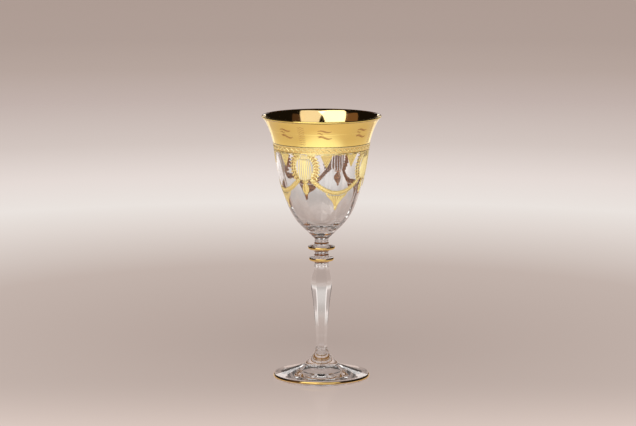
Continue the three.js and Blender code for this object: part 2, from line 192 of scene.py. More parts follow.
def bezier(*handles, steps=200):
    """Points of a Bezier curve: its handles weighted by the Bernstein polynomials of an even parameter."""
    share = np.linspace(0, 1, steps)[:, None]
    degree = len(handles) - 1
    return sum(
        math.comb(degree, k) * share**k * (1 - share) ** (degree - k) * np.asarray(handle, float)
        for k, handle in enumerate(handles)
    )


def arc(centre, radius, start, end, steps=60):
    """Points on a circle round centre, from one angle to the other in degrees."""
    turn = np.radians(np.linspace(start, end, steps))
    return np.stack((centre[0] + radius * np.cos(turn), centre[1] + radius * np.sin(turn)), 1)


def slanted(angle, length):
    """A step of this length at an angle in degrees from level."""
    return np.array((math.cos(math.radians(angle)), math.sin(math.radians(angle)))) * length


def fire_polished(profile, softness):
    """The profile in even fine steps, each point averaged with its neighbours under a bell curve.

    The bell is cut off at three times its softness.
    """
    length = np.concatenate(([0], np.cumsum(np.hypot(*np.diff(profile, axis=0).T))))
    even = np.linspace(0, length[-1], int(length[-1] / FINE_STEP))
    points = np.stack([np.interp(even, length, axis) for axis in profile.T])
    reach = int(3 * softness / FINE_STEP)
    bell = np.exp(-0.5 * (np.arange(-reach, reach + 1) * FINE_STEP / softness) ** 2)
    padded = np.pad(points, ((0, 0), (reach, reach)), mode="reflect", reflect_type="odd")
    return np.stack([np.convolve(axis, bell / bell.sum(), "valid") for axis in padded], 1)


def spaced(profile, turn=4.0, reach=1.2):
    """The same profile with a point for each turn in degrees that it bends and each reach that it runs."""
    step = np.diff(profile, axis=0)
    heading = np.degrees(np.unwrap(np.arctan2(step[:, 1], step[:, 0])))
    need = np.abs(np.diff(heading, prepend=heading[0])) / turn + np.hypot(*step.T) / reach
    need = np.concatenate(([0], np.cumsum(need)))
    wanted = np.linspace(0, need[-1], int(need[-1]) + 2)
    return np.stack([np.interp(wanted, need, axis) for axis in profile.T], 1)


def normals(profile):
    """Unit normals on the right of a profile's course."""
    step = np.gradient(profile, axis=0)
    return np.stack((step[:, 1], -step[:, 0]), 1) / np.hypot(*step.T)[:, None]


def stretch(profile, bottom, top):
    """The part of a rising profile between two heights."""
    radius, height = profile.T
    inside = height[(height > bottom) & (height < top)]
    heights = np.concatenate(((bottom,), inside, (top,)))
    return np.stack((np.interp(heights, height, radius), heights), 1)


def foot_outline():
    """Dome in a shallow hollow underneath, flat standing ring, half-round edge, sagging slope and cone."""
    dome = bezier(
        (0, FOOT_DOME_HEIGHT),
        (FOOT_DOME_SHOULDER, FOOT_DOME_HEIGHT),
        (FOOT_DOME_RADIUS, FOOT_RECESS_HEIGHT),
    )
    slope_start = np.array((FOOT_EDGE_CENTRE[0], FOOT_EDGE))
    slope_end = np.array((FOOT_CONE_RADIUS, FOOT_CONE_BASE))
    slope_middle = (slope_start + slope_end) / 2 - (0, FOOT_SLOPE_SAG)
    return (
        dome,
        [(FOOT_RECESS_RADIUS, 0)],
        arc(FOOT_EDGE_CENTRE, FOOT_EDGE / 2, -90, 90),
        bezier(slope_start, slope_middle, slope_end),
        [(STEM_BASE_RADIUS, FOOT_TOP)],
    )


def stem_outline():
    """Round base, flare to a waist, swelling shaft, shoulder and cap."""
    waist = (STEM_WAIST_RADIUS, STEM_WAIST)
    shoulder = (STEM_SHOULDER_RADIUS, STEM_SHOULDER)
    ease = STEM_EASE * (STEM_SHOULDER - STEM_WAIST)
    cap_height = STEM_SHOULDER + STEM_CAP_SHARE * (STEM_TOP - STEM_SHOULDER)
    sides = np.concatenate((
        bezier((STEM_BASE_RADIUS, STEM_BASE), (STEM_WAIST_RADIUS, STEM_BASE + STEM_BASE_REACH), waist),
        bezier(
            waist,
            (STEM_WAIST_RADIUS, STEM_WAIST + ease),
            (STEM_SHOULDER_RADIUS - STEM_SHOULDER_LEAN, STEM_SHOULDER - ease),
            shoulder,
        ),
        bezier(shoulder, (STEM_TOP_RADIUS + STEM_CAP_SWELL, cap_height), (STEM_TOP_RADIUS, STEM_TOP)),
    ))
    return (fire_polished(sides, STEM_POLISH),)


def collar_edge(top, radius):
    """Centre of a collar's half-round edge."""
    return np.array((radius - COLLAR_EDGE / 2, top - COLLAR_CROWN_RISE - COLLAR_EDGE / 2))


def collar_outline(bottom, top, radius):
    """Neck, dished underside, half-round edge and low crown."""
    edge = collar_edge(top, radius)
    under = edge[1] - COLLAR_EDGE / 2
    return (
        bezier((COLLAR_NECK_RADIUS, bottom), (COLLAR_NECK_RADIUS, under), (edge[0], under)),
        arc(edge, COLLAR_EDGE / 2, -90, 90),
        [(COLLAR_CROWN_RADIUS, top)],
    )


def bulge(neck, radius, bottom, top):
    """A ring that swells from its neck radius and back."""
    return (bezier((neck, bottom), (2 * radius - neck, (bottom + top) / 2), (neck, top)),)


def button_outline():
    """A ring at the bottom and a flaring cup under the bowl."""
    ring_top = UPPER_BEAD_TOP + BUTTON_RING
    cup_top = BOWL_SEAT - BUTTON_EDGE
    return (
        *bulge(BEAD_NECK_RADIUS, BUTTON_NECK_RADIUS, UPPER_BEAD_TOP, ring_top),
        bezier(
            (BEAD_NECK_RADIUS, ring_top),
            (BUTTON_NECK_RADIUS, (ring_top + cup_top) / 2),
            (BUTTON_RADIUS, cup_top),
        ),
        [(BUTTON_RADIUS, BOWL_SEAT)],
    )


def bowl_wall(start, start_handle, waist, waist_reach, rim):
    """A wall from its start to the waist and on to the rim, as two Bezier curves that share a slope."""
    lean = slanted(90 - BOWL_WAIST_LEAN, 1)
    belly = bezier(start, start_handle, waist - waist_reach * lean, waist)
    flare = bezier(waist, waist + FLARE_REACH * lean, rim - slanted(RIM_FLARE, RIM_REACH), rim)
    return np.concatenate((belly, flare[1:]))


outer_waist = np.array((BOWL_WAIST_RADIUS, BOWL_WAIST))
outer_seat = np.array((BOWL_SEAT_RADIUS, BOWL_SEAT))
outer_wall = bowl_wall(
    outer_seat,
    outer_seat + slanted(BOWL_SEAT_ANGLE, BOWL_SEAT_REACH),
    outer_waist,
    OUTER_BELLY_REACH,
    LIP_CENTRE + slanted(RIM_FLARE - 90, LIP_WALL / 2),
)
inner_wall = bowl_wall(
    np.array((0, BOWL_BOTTOM)),
    (INSIDE_BOTTOM_REACH, BOWL_BOTTOM),
    outer_waist - (BOWL_WALL, 0),
    INNER_BELLY_REACH,
    LIP_CENTRE + slanted(RIM_FLARE + 90, LIP_WALL / 2),
)

whole_outline = fire_polished(
    np.concatenate((
        *foot_outline(),
        *stem_outline(),
        *collar_outline(STEM_TOP, LOWER_COLLAR_TOP, LOWER_COLLAR_RADIUS),
        *bulge(BEAD_NECK_RADIUS, BEAD_RADIUS, LOWER_COLLAR_TOP, LOWER_BEAD_TOP),
        *collar_outline(LOWER_BEAD_TOP, UPPER_COLLAR_TOP, UPPER_COLLAR_RADIUS),
        *bulge(BEAD_NECK_RADIUS, BEAD_RADIUS, UPPER_COLLAR_TOP, UPPER_BEAD_TOP),
        *button_outline(),
        outer_wall,
        arc(LIP_CENTRE, LIP_WALL / 2, RIM_FLARE - 90, RIM_FLARE + 90),
        inner_wall[::-1],
    )),
    FIRE_POLISH,
)


def outline_between(bottom, top):
    """The stretch of the whole outline from one joint up to the next; None runs to the outline's end."""
    above_edge = np.argmax(whole_outline[:, 0] >= FOOT_RADIUS - FOOT_EDGE)
    cut = lambda height: above_edge + np.argmax(whole_outline[above_edge:, 1] >= height)
    first = 0 if bottom is None else cut(bottom)
    last = len(whole_outline) if top is None else cut(top) + 1
    return spaced(whole_outline[first:last])


# Meshes: a part is its points, its faces and each face's material slot

EVEN_TURN = np.linspace(0, 2 * math.pi, ROUND_STEPS, endpoint=False)


def skin(rows, columns, close_rows):
    """Four-cornered faces over a grid of points whose columns close into rings, and whose rows may."""
    row = np.arange(rows if close_rows else rows - 1)[:, None]
    column = np.arange(columns)[None, :]
    next_row, next_column = (row + 1) % rows, (column + 1) % columns
    corners = (row * columns + column, row * columns + next_column,
               next_row * columns + next_column, next_row * columns + column)
    return np.stack(np.broadcast_arrays(*corners), -1).reshape(-1, 4)


def turned_points(radius, height, turn):
    """Points at these radii and heights, turned round the axis."""
    return np.stack(np.broadcast_arrays(radius * np.sin(turn), -radius * np.cos(turn), height), -1)


def turned_solid(profile, turn=EVEN_TURN, shape=None, fused_bottom=False, fused_top=False):
    """A profile turned round the axis, with both ends closed on it.

    shape(turn, radius, height) may move its points. An end that is fused takes the second material slot.
    """
    ends = np.array(((0, profile[0, 1]), (0, profile[-1, 1])))
    rings = profile[profile[:, 0] > ON_AXIS]
    radius, height = rings[:, :1], rings[:, 1:]
    if shape:
        radius, height = shape(turn, radius, height)
    grid = turned_points(radius, height, turn).reshape(-1, 3)
    points = np.concatenate((grid, turned_points(ends[:, 0], ends[:, 1], 0.0)))
    column = np.arange(len(turn))
    next_column = (column + 1) % len(turn)
    last_ring = len(grid) - len(turn)
    bottom = np.stack((np.full_like(column, len(grid)), next_column, column), 1)
    top = np.stack((np.full_like(column, len(grid) + 1), last_ring + column, last_ring + next_column), 1)
    side = skin(len(rings), len(turn), False)
    slots = np.repeat((int(fused_bottom), 0, int(fused_top)), (len(bottom), len(side), len(top)))
    return points, bottom.tolist() + side.tolist() + top.tolist(), slots


def film(profile, lift=FILM, sink=SINK, face_slot=BRIGHT, back_slot=SHADED_BACK_AND_COPPER):
    """A thin ring on a profile: its face lifted along the profile's normal, its back sunk in the glass."""
    normal = normals(profile)
    lift = np.broadcast_to(lift, len(profile))[:, None]
    loop = np.concatenate((profile + normal * lift, (profile - normal * sink)[::-1]))
    points = turned_points(loop[:, :1], loop[:, 1:], EVEN_TURN).reshape(-1, 3)
    on_face = np.arange(len(loop)) < len(profile) - 1
    slots = np.repeat(np.where(on_face, face_slot, back_slot), ROUND_STEPS)
    return points, skin(len(loop), ROUND_STEPS, True).tolist(), slots


wall = spaced(fire_polished(outer_wall, FIRE_POLISH), turn=1.0, reach=0.3)
wall_normal = normals(wall)


def wall_radius(height):
    """Radius of the bowl's outside at a height."""
    return np.interp(height, wall[:, 1], wall[:, 0])


def wall_slant(height):
    """Length run along the wall for each millimetre of height."""
    return 1 / np.interp(height, wall[:, 1], wall_normal[:, 0])


def on_wall(turn, height, lift):
    """Points at angles and heights on the bowl's outside, lifted along the wall's normal."""
    out = np.interp(height, wall[:, 1], wall_normal[:, 0])
    up = np.interp(height, wall[:, 1], wall_normal[:, 1])
    return turned_points(wall_radius(height) + out * lift, height + up * lift, turn)


def course(turn, height):
    """Direction of paths on the wall, as shares of a step round the bowl and a step up its wall."""
    run = wall_radius(height) * np.gradient(turn, axis=-1)
    climb = wall_slant(height) * np.gradient(height, axis=-1)
    length = np.hypot(run, climb)
    return run / length, climb / length


def beside(turn, height, run, climb, side):
    """Angles and heights of points that lie to the side of a path, square to its course."""
    return turn - side * climb / wall_radius(height), height + side * run / wall_slant(height)


SECTION_TURN = np.radians(np.arange(0, 181, 36))
SECTION_SIDE = np.concatenate((np.cos(SECTION_TURN), (-0.5, 0.5)))
SECTION_LIFT = np.concatenate((np.sin(SECTION_TURN), (0, 0)))
SECTION_SINK = np.concatenate((np.zeros_like(SECTION_TURN), (1, 1)))


def strokes(turn, height, half_width, rise, face_slot):
    """Ribbons on the wall, one for each row of angles and heights.

    A section is half an ellipse, half_width to each side and rise high, over a back sunk into the glass. It
    is carried along the row's path, square to it, and both ends are closed.
    """
    rows = np.broadcast_arrays(turn, height, half_width, rise)
    turn, height, half_width, rise = (np.atleast_2d(row)[..., None] for row in rows)
    run, climb = (share[..., None] for share in course(turn[..., 0], height[..., 0]))
    lift = rise * SECTION_LIFT - SINK * SECTION_SINK
    points = on_wall(*beside(turn, height, run, climb, half_width * SECTION_SIDE), lift)
    count, stations, around = points.shape[:3]
    start = (np.arange(count) * stations * around)[:, None, None]
    sides = start + skin(stations, around, False)
    ring = np.arange(around)
    ends = start + np.stack((ring[::-1], (stations - 1) * around + ring))
    on_back = np.tile(ring >= len(SECTION_TURN) - 1, (stations - 1) * count)
    slots = np.concatenate((np.where(on_back, SHADED_BACK_AND_COPPER, face_slot), np.full(2 * count, face_slot)))
    faces = sides.reshape(-1, 4).tolist() + ends.reshape(-1, around).tolist()
    return points.reshape(-1, 3), faces, slots


def raised(turn, height, half_width, rise):
    """Strokes of relief gold, paler as painted highlight."""
    return strokes(turn, height, half_width, rise, LIT_RELIEF)


def tapered(stations, power=2.5, least=0.12):
    """Share of full width along a stroke: a superellipse that rounds both ends."""
    along = np.linspace(-1, 1, stations)
    return np.maximum((1 - np.abs(along) ** power) ** (1 / power), least)


def add_object(name, data):
    """A new object in the scene."""
    made = bpy.data.objects.new(name, data)
    bpy.context.scene.collection.objects.link(made)
    return made


def make_piece(name, node, parts, materials):
    """One object from its parts, in place of its CAD node."""
    point_sets, face_sets, slot_sets = zip(*parts)
    starts = np.cumsum([0, *map(len, point_sets)]).tolist()
    faces = [
        [start + corner for corner in face]
        for start, face_set in zip(starts, face_sets)
        for face in face_set
    ]
    mesh = bpy.data.meshes.new(name)
    mesh.from_pydata(np.concatenate(point_sets) * MM, [], faces)
    for material in materials:
        mesh.materials.append(material)
    mesh.polygons.foreach_set("material_index", np.concatenate(slot_sets).astype(np.int32))
    mesh.shade_smooth()
    mesh.set_sharp_from_angle(angle=SHARP_ANGLE)
    mesh.update()
    made = add_object(name, mesh)
    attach(made, "root")
    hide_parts(node)


# Materials

class Shade:
    """A socket in a node tree; arithmetic on it adds Math nodes, and node() adds any other node."""

    def __init__(self, tree, socket=None):
        self.tree, self.socket = tree, socket

    def node(self, kind, settings, sockets, out=0):
        made = self.tree.nodes.new(kind)
        for key, value in settings.items():
            if key == "stops":
                elements = made.color_ramp.elements
                for _ in value[2:]:
                    elements.new(0.5)
                for element, (position, colour) in zip(elements, value):
                    element.position, element.color = position, (*colour, 1)
            else:
                setattr(made, key, value)
        for key, value in sockets.items():
            if isinstance(value, Shade):
                self.tree.links.new(value.socket, made.inputs[key])
            else:
                made.inputs[key].default_value = value
        return Shade(self.tree, made.outputs[out] if made.outputs else None)

    def math(self, operation, first, second):
        return self.node("ShaderNodeMath", {"operation": operation}, {0: first, 1: second})

    def smooth(self, start, end):
        """A smooth step from 0 to 1 while the value goes from start to end."""
        step = {0: self, 1: start, 2: end}
        return self.node("ShaderNodeMapRange", {"interpolation_type": "SMOOTHSTEP"}, step)

    def __add__(self, other):
        return self.math("ADD", self, other)

    def __radd__(self, other):
        return self.math("ADD", other, self)

    def __sub__(self, other):
        return self.math("SUBTRACT", self, other)

    def __rsub__(self, other):
        return self.math("SUBTRACT", other, self)

    def __mul__(self, other):
        return self.math("MULTIPLY", self, other)

    def __rmul__(self, other):
        return self.math("MULTIPLY", other, self)


def srgb(red, green, blue):
    """Linear colour of 8-bit display values."""
    share = np.array((red, green, blue)) / 255
    return tuple(np.where(share < 0.04045, share / 12.92, ((share + 0.055) / 1.055) ** 2.4))


def mixed(tree, factor, first, second):
    """A colour that goes from the first to the second, each a colour or a socket, with the factor.

    A Mix node takes its colours at sockets 6 and 7 and gives the result at output 2.
    """
    first, second = (end if isinstance(end, Shade) else (*end, 1) for end in (first, second))
    return tree.node("ShaderNodeMix", {"data_type": "RGBA"}, {0: factor, 6: first, 7: second}, 2)


def scaled(tree, colour, factor):
    """A colour times a factor."""
    return tree.node("ShaderNodeVectorMath", {"operation": "SCALE"}, {0: colour, "Scale": factor})


def added(tree, first, second):
    """The sum of two colours."""
    return tree.node("ShaderNodeVectorMath", {"operation": "ADD"}, {0: first, 1: second})


def along_axis(tree, vector, axis):
    """One axis of a vector."""
    return tree.node("ShaderNodeSeparateXYZ", {}, {0: vector}, axis)


def is_ray(tree, kind):
    """1 for rays of a kind, 0 for others."""
    return tree.node("ShaderNodeLightPath", {}, {}, f"Is {kind} Ray")


def noise(tree, scale, detail=2.0):
    """Cloudy values from 0 to 1 in the object's own space; scale counts lumps in a metre."""
    place = tree.node("ShaderNodeTexCoord", {}, {}, "Object")
    return tree.node("ShaderNodeTexNoise", {}, {"Vector": place, "Scale": scale, "Detail": detail})


def bumped(tree, height, strength, distance):
    """A normal bent by a height map."""
    return tree.node("ShaderNodeBump", {}, {"Strength": strength, "Distance": distance, "Height": height})


def new_material(name):
    """An empty material and its tree."""
    material = bpy.data.materials.new(name)
    material.use_nodes = True
    material.node_tree.nodes.clear()
    return material, Shade(material.node_tree)


def add_surface(tree, sockets):
    """A Principled surface as the tree's output."""
    surface = tree.node("ShaderNodeBsdfPrincipled", {}, sockets)
    tree.node("ShaderNodeOutputMaterial", {}, {"Surface": surface})


def make_crystal():
    """Clear lead glass with faint striae and the lightest haze of handling."""
    material, tree = new_material("crystal")
    add_surface(tree, {
        "Base Color": mixed(tree, noise(tree, 40), (0.995, 0.992, 0.99), (0.985, 0.988, 0.99)),
        "Roughness": noise(tree, 90) * 0.006,
        "IOR": 1.54,
        "Transmission Weight": 1.0,
        "Normal": bumped(tree, noise(tree, 45, 1.0), 0.06, 0.001),
    })
    return material


def make_fused_joint():
    """Where two gathers are fused nothing bends or stops the light."""
    material, tree = new_material("fused_joint")
    add_surface(tree, {"Base Color": (1, 1, 1, 1), "Alpha": 0.0})
    return material


GRAIN_DEPTH = 0.0001


def make_gold(name, light, deep, lumps, polished, rough, grain, bump):
    """Fired gold: two tones in clouds, and a grain that varies the polish and bends the light.

    lumps and grain count the clouds and the grains in a metre.
    """
    material, tree = new_material(name)
    fine = noise(tree, grain, 3.0)
    add_surface(tree, {
        "Base Color": mixed(tree, noise(tree, lumps, 3.0), light, deep),
        "Metallic": 1.0,
        "Roughness": fine * (rough - polished) + polished,
        "Normal": bumped(tree, fine, bump, GRAIN_DEPTH),
    })
    return material


crystal = make_crystal()
fused_joint = make_fused_joint()
bright_gold = make_gold("bright_gold", (1.0, 0.79, 0.27), (1.0, 0.74, 0.2), 80, 0.05, 0.13, 900, 0.05)
# Relief gold is the raised paste gold, made paler as painted highlight
lit_relief_gold = make_gold("lit_relief_gold", (1.0, 0.93, 0.5), (1.0, 0.8, 0.3), 700, 0.1, 0.36, 2600, 0.4)
# Ground gold is the thin film under raised strokes, a darker, browner copy of the gold as painted shade
shaded_ground_gold = make_gold("shaded_ground_gold", (1.0, 0.77, 0.3), (0.72, 0.46, 0.15), 700, 0.25, 0.5, 3000, 0.4)
# Etched gold is the real matt etched finish; its darker tone is also painted shade under raised strokes and
# on backs
etched_and_shaded_gold = make_gold("etched_and_shaded_gold", (0.68, 0.42, 0.15), (0.5, 0.28, 0.09), 500, 0.3, 0.55, 3000, 0.4)
lining_gold = make_gold("lining_gold", (1.0, 0.78, 0.38), (1.0, 0.73, 0.31), 80, 0.05, 0.1, 900, 0.04)
# The backs of the gilding, seen through the glass, are a darker copper copy of the gold as painted shade
gilding_back = make_gold("gilding_back", (0.72, 0.35, 0.13), (0.36, 0.15, 0.05), 300, 0.15, 0.4, 1500, 0.3)
edge_gold = make_gold("edge_gold", (0.92, 0.67, 0.25), (0.6, 0.38, 0.11), 200, 0.06, 0.16, 900, 0.05)
GLASS = (crystal, fused_joint)
GILT = (bright_gold, gilding_back, lit_relief_gold, shaded_ground_gold, etched_and_shaded_gold, lining_gold, edge_gold)


# Glass

def six_sided(turn, radius, height):
    """Six flat sides with softened corners, round near both ends.

    The sides are a power mean of the distances to the six planes.
    """
    sides = np.abs(np.cos(turn - np.radians((0, 60, 120))[:, None])) ** STEM_CORNER_POWER
    flat = math.cos(math.pi / 6) / sides.sum(0) ** (1 / STEM_CORNER_POWER)
    from_ends = np.clip(np.minimum(height - STEM_BASE, STEM_TOP - height) / STEM_ROUNDING, 0, 1)
    share = from_ends**2 * (3 - 2 * from_ends)
    return radius * (1 + share * (flat - 1)), height


def inner_flutes(turn, radius, height):
    """Shallow upright flutes inside the bowl, fading out at its bottom and waist."""
    rows = np.arange(len(radius))[:, None]
    share = np.clip((height - BOWL_BOTTOM) / (BOWL_WAIST - BOWL_BOTTOM), 0, 1)
    inside = rows > np.argmax(height)
    return radius + inside * OPTIC_DEPTH * np.sin(math.pi * share) * np.cos(OPTIC_FLUTES * turn), height


def stem_turn(per_side=24):
    """Angles round the stem, crowded towards the six corners."""
    share = np.linspace(-1, 1, per_side, endpoint=False)
    from_middle = np.sign(share) * (1 - (1 - np.abs(share)) ** 2) * math.pi / 6
    return (np.radians(np.arange(0, 360, 60))[:, None] + from_middle).ravel()


def make_glass(name, bottom, top, **form):
    """A gather of glass between two fused joints."""
    fused = {"fused_bottom": bottom is not None, "fused_top": top is not None}
    solid = turned_solid(outline_between(bottom, top), **fused, **form)
    make_piece(f"{name}_crystal", name, [solid], GLASS)


make_glass("foot", None, FOOT_TOP)
make_glass("stem", FOOT_TOP, STEM_TOP, turn=stem_turn(), shape=six_sided)
make_glass("lower_collar", STEM_TOP, LOWER_COLLAR_TOP)
make_glass("lower_bead", LOWER_COLLAR_TOP, LOWER_BEAD_TOP)
make_glass("upper_collar", LOWER_BEAD_TOP, UPPER_COLLAR_TOP)
make_glass("upper_bead", UPPER_COLLAR_TOP, UPPER_BEAD_TOP)
make_glass("bowl_button", UPPER_BEAD_TOP, BOWL_SEAT)
make_glass("bowl", BOWL_SEAT, None, shape=inner_flutes)


# Gilding of the edges, the rim and the border

def make_gilding(name, parts):
    """A piece of gilding in place of the CAD node of the same name."""
    make_piece(name.replace("gilding", "gilt"), name, parts, GILT)


def make_edge_gilding():
    """Films round the half-round edges of the foot, the collars and the lip."""
    foot_edge = arc(FOOT_EDGE_CENTRE, FOOT_EDGE / 2, *FOOT_GILDING, 24)
    # The foot edge's back takes the darker etched gold as painted shade
    make_gilding("foot_edge_gilding", [film(foot_edge, face_slot=EDGE, back_slot=ETCHED_AND_SHADED)])
    for name, top, radius in (
        ("lower", LOWER_COLLAR_TOP, LOWER_COLLAR_RADIUS), ("upper", UPPER_COLLAR_TOP, UPPER_COLLAR_RADIUS),
    ):
        edge = arc(collar_edge(top, radius), COLLAR_EDGE / 2, *COLLAR_GILDING, 30)
        make_gilding(f"{name}_collar_gilding", [film(edge, face_slot=EDGE)])
    lip = arc(LIP_CENTRE, LIP_WALL / 2, RIM_FLARE - LIP_GILDING, RIM_FLARE + LIP_GILDING, 24)
    make_gilding("lip_gilding", [film(lip)])


def leaf_strokes(middle, rise, half_turn, wave, half_width):
    """Wavy leaves etched into the band: a sine wave about a level line, widest in the middle."""
    along = np.linspace(-1, 1, 13)
    height = BAND_LINE + rise + wave * np.sin(math.pi * along)
    width = half_width * np.cos(0.5 * math.pi * along) ** 0.8 + 0.03
    return strokes(middle[:, None] + half_turn * along, height, width, BAND_ETCH_RISE, ETCHED_AND_SHADED)


def make_rim_gilding():
    """The lining inside the rim, and the band outside it with its cut line, leaf strokes and combs."""
    lining = stretch(spaced(inner_wall), LINING_BOTTOM, LINING_TOP)[::-1]
    make_gilding("rim_lining_gilding", [film(lining, face_slot=LINING)])
    band = stretch(spaced(outer_wall, reach=0.12), BAND_BOTTOM, BAND_TOP)
    cut = np.exp(-(((band[:, 1] - BAND_LINE) / BAND_LINE_WIDTH) ** 2))
    leaves = np.radians(BAND_LEAF_START + BAND_LEAF_PITCH * np.arange(2 * BAYS))
    combs = np.repeat(TASSEL_TURNS, COMB_ROWS)[:, None]
    comb_rise = np.tile(np.linspace(*COMB_RISES, COMB_ROWS), BAYS)[:, None]
    tooth = np.linspace(-1, 1, 9)
    comb_turn = combs + COMB_HALF_ANGLE * tooth
    comb_height = BAND_LINE + comb_rise + COMB_WAVE * np.cos(2 * math.pi * tooth)
    make_gilding("rim_band_gilding", [
        film(band, lift=FILM * (1 - BAND_LINE_DEPTH * cut)),
        *(
            leaf_strokes(leaves + np.radians(aside), rise, np.radians(half), wave, half_width)
            for aside, rise, half, wave, half_width in BAND_LEAVES
        ),
        strokes(comb_turn, comb_height, COMB_WIDTH * tapered(9), BAND_ETCH_RISE, ETCHED_AND_SHADED),
    ])


def make_border():
    """Lace under the band: scrolls, rosettes and drops between two cords, and loops and beads that hang.

    Reaches, asides and loop_half are shares of a repeat, rises and drops are heights, and the half lengths of
    drops and beads are angles.
    """
    scroll_reach, scroll_curl, rosette_reach, drop_aside, loop_half = 0.36, 0.1, 0.13, 0.22, 0.49
    scroll_rise, drop_rise, loop_drop, bead_drop = 1.25, 1.35, 0.75, 0.8
    drop_half, bead_half = 0.009, 0.012
    pitch = 2 * math.pi / LACE_REPEATS
    middle = pitch * np.arange(LACE_REPEATS)[:, None]
    along = np.linspace(-1, 1, 9)
    short = np.linspace(-1, 1, 5)
    oval = tapered(5, 2)
    level = (BORDER_TOP + BORDER_BOTTOM) / 2
    cord_inset, cord_half, cord_rise = 0.4, 0.35, 0.25
    cords = []
    for height in (BORDER_TOP - cord_inset, BORDER_BOTTOM + cord_inset):
        cord = stretch(wall, height - cord_half, height + cord_half)
        swell = np.sin(np.linspace(0, math.pi, len(cord)))
        cords.append(film(cord, lift=FILM + cord_rise * swell, sink=SINK / 3, face_slot=LIT_RELIEF))
    scroll_turn = middle + pitch * (scroll_reach * along + scroll_curl * np.sin(math.pi * along))
    scroll_height = level - scroll_rise * np.sin(0.5 * math.pi * along)
    rosette_turn = middle + pitch * (0.5 + rosette_reach * short)
    side = np.repeat((1, -1), LACE_REPEATS)[:, None]
    drop_turn = np.tile(middle, (2, 1)) + pitch * drop_aside * side + drop_half * short
    drop_height = level - drop_rise * side
    loop_turn = middle + pitch * loop_half * along
    loop_height = BORDER_BOTTOM - loop_drop + along**2
    make_gilding("border_gilding", [
        film(stretch(wall, BORDER_BOTTOM, BORDER_TOP), lift=BORDER_RISE, face_slot=SHADED_GROUND),
        *cords,
        raised(scroll_turn, scroll_height, half_width=0.5 * tapered(9), rise=0.3),
        raised(rosette_turn, level, half_width=0.85 * oval, rise=0.36),
        raised(drop_turn, drop_height, half_width=0.42 * oval, rise=0.3),
        raised(loop_turn, loop_height, half_width=0.24, rise=0.26),
        raised(middle + bead_half * short, BORDER_BOTTOM - bead_drop, half_width=0.45 * oval, rise=0.3),
    ])


make_edge_gilding()
make_rim_gilding()
make_border()


# Festoons

class Line:
    """A line of angles and heights on the bowl's wall, stepped evenly along its length."""

    def __init__(self, turn, height):
        step = np.hypot(wall_radius(height[1:]) * np.diff(turn), wall_slant(height[1:]) * np.diff(height))
        length = np.concatenate(([0], np.cumsum(step)))
        self.length = length[-1]
        self.along = np.linspace(0, self.length, LINE_STEPS)
        self.turn, self.height = (np.interp(self.along, length, v) for v in (turn, height))
        self.run, self.climb = course(self.turn, self.height)

    def at(self, along, side):
        """Angles and heights at lengths along the line and distances to its side."""
        along, side = np.broadcast_arrays(along, side)
        values = (np.interp(along, self.along, v) for v in (self.turn, self.height, self.run, self.climb))
        turn, height = beside(*values, side)
        return turn, np.minimum(height, FESTOON_TOP)


def swag_height(offset):
    """Height of a swag's middle line at angles from its lowest point: a parabola between two knots."""
    return SWAG_BOTTOM + (SWAG_TOP - SWAG_BOTTOM) * (offset / SWAG_HALF_ANGLE) ** 2


def rope_strokes(middle):
    """A rope of slanting strands between two cords on a thin ground, edged with beads, with end knots."""
    end_gap, first_strand, last_strand, slant, bead_half = 0.3, 1.4, 1.2, 0.75, 0.5
    ground_inset, cord_inset, strand_inset, bead_inset = 0.45, 0.65, 0.95, 0.2
    half = SWAG_WIDTH / 2
    offset = np.linspace(-SWAG_HALF_ANGLE, SWAG_HALF_ANGLE, LINE_STEPS)
    rope = Line(middle + offset, swag_height(offset))
    along = np.linspace(end_gap, rope.length - end_gap, 90)
    starts = np.arange(first_strand, rope.length - last_strand, ROPE_PITCH)
    share = np.linspace(-1, 1, 6)
    strand = rope.at(starts[:, None] + slant * np.sin(0.5 * math.pi * share), share * (half - strand_inset))
    bead = rope.at(
        np.repeat(starts, 2)[:, None] + bead_half * np.linspace(-1, 1, 5),
        np.tile(BOTH, len(starts))[:, None] * (half - bead_inset),
    )
    knot = middle + BOTH[:, None] * SWAG_HALF_ANGLE + KNOT / wall_radius(SWAG_TOP) * np.linspace(-1, 1, 7)
    return [
        strokes(*rope.at(along, 0.0), half - ground_inset, GROUND_RISE, SHADED_GROUND),
        raised(*rope.at(along, BOTH[:, None] * (half - cord_inset)), half_width=0.3, rise=0.3),
        raised(*strand, half_width=0.5 * tapered(6), rise=0.32),
        raised(*bead, half_width=0.4 * tapered(5, 2), rise=0.28),
        raised(knot, SWAG_TOP, half_width=KNOT * tapered(7, 2), rise=0.45),
    ]


def wreath_strokes(middle, side):
    """One arm of the leaf wreath round a tassel: a Bezier curve from the border out and in to a knot.

    A cord runs along it over a thin ground, with a leaf to each side at every pitch.
    """
    end_gap, first_leaf, last_leaf = 0.2, 0.6, 2.2
    leaf_root, leaf_spread, leaf_length = 0.2, 2.3, 2.0
    turn, height = bezier(
        (WREATH_START, FESTOON_TOP),
        (WREATH_BULGE, FESTOON_TOP - 1.6),
        (WREATH_BULGE, SWAG_TOP + 3.5),
        (WREATH_END, SWAG_TOP),
        steps=LINE_STEPS,
    ).T
    arm = Line(middle + side * turn, height)
    stalk = arm.at(np.linspace(end_gap, arm.length - end_gap, 60), 0.0)
    starts = np.repeat(np.arange(first_leaf, arm.length - last_leaf, LEAF_PITCH), 2)[:, None]
    grow = np.linspace(0, 1, 7)
    spread = leaf_root + leaf_spread * np.sin(0.5 * math.pi * grow)
    leaf = arm.at(starts + leaf_length * grow, np.tile(BOTH, len(starts) // 2)[:, None] * spread)
    return [
        strokes(*stalk, 1.6, ETCHED_RISE, ETCHED_AND_SHADED),
        raised(*stalk, half_width=0.32, rise=0.34),
        raised(*leaf, half_width=0.75 * tapered(7, 2), rise=0.32),
    ]


